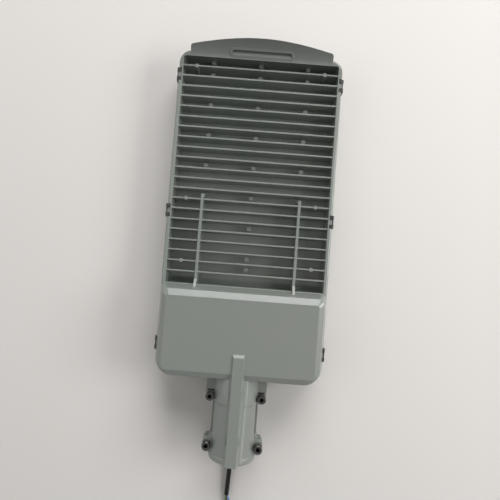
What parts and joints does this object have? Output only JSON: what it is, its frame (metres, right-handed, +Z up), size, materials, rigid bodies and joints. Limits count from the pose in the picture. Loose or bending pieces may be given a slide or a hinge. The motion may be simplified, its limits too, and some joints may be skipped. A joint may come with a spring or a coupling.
{
  "type": "led street light head",
  "caption": "Flat LED street light head: grey die-cast housing with cross fins on top, driver box, split pole socket with clamp bolts and a glass light side.",
  "frame": {"origin": "bottom centre of the head without its cable, on the plane of the light side's frame", "axes": "+Y from the pole socket to the front peak, +Z up through the fins, +X across"},
  "size_m": [0.2698, 0.774, 0.0795],
  "materials": {
    "grey_paint": "semi-gloss powder coat",
    "bolt_steel": "bright zinc",
    "spring_steel": "rolled stainless",
    "cable_sheath": "smooth matt",
    "core_green_yellow": "satin",
    "core_blue": "satin",
    "core_brown": "satin",
    "silicone": "matt",
    "clear_glass": "polished",
    "clear_lens": "polished",
    "white_board": "white solder mask",
    "phosphor": "satin",
    "driver_case": "satin",
    "tray_steel": "galvanised",
    "surge_case": "moulded",
    "terminal_plastic": "moulded",
    "black_nylon": "moulded"
  },
  "bodies": {
    "root": {"housing": "grey_paint", "socket_saddle": "grey_paint", "bottom_frame": "grey_paint", "clamp_bolts": "bolt_steel", "clamp_spring_washers": "bolt_steel", "clamp_flat_washers": "bolt_steel", "clamp_nuts": "bolt_steel", "side_clips": "spring_steel", "frame_gasket": "silicone", "cover_glass": "clear_glass", "glass_gasket": "silicone", "glass_clamps": "spring_steel", "glass_clamp_screws": "bolt_steel", "led_board": "white_board", "led_emitters": "phosphor", "lens_plates": "clear_lens", "board_screws": "bolt_steel", "partition_grommet": "black_nylon", "led_driver": "driver_case", "driver_screws": "bolt_steel", "gear_tray": "tray_steel", "gear_screws": "bolt_steel", "surge_protector": "surge_case", "terminal_block": "terminal_plastic", "earth_screw": "bolt_steel", "cable_gland": "black_nylon", "gland_nut": "black_nylon", "supply_cable": "cable_sheath", "core_earth": "core_green_yellow", "core_neutral": "core_blue", "core_line": "core_brown"}
  },
  "joints": []
}
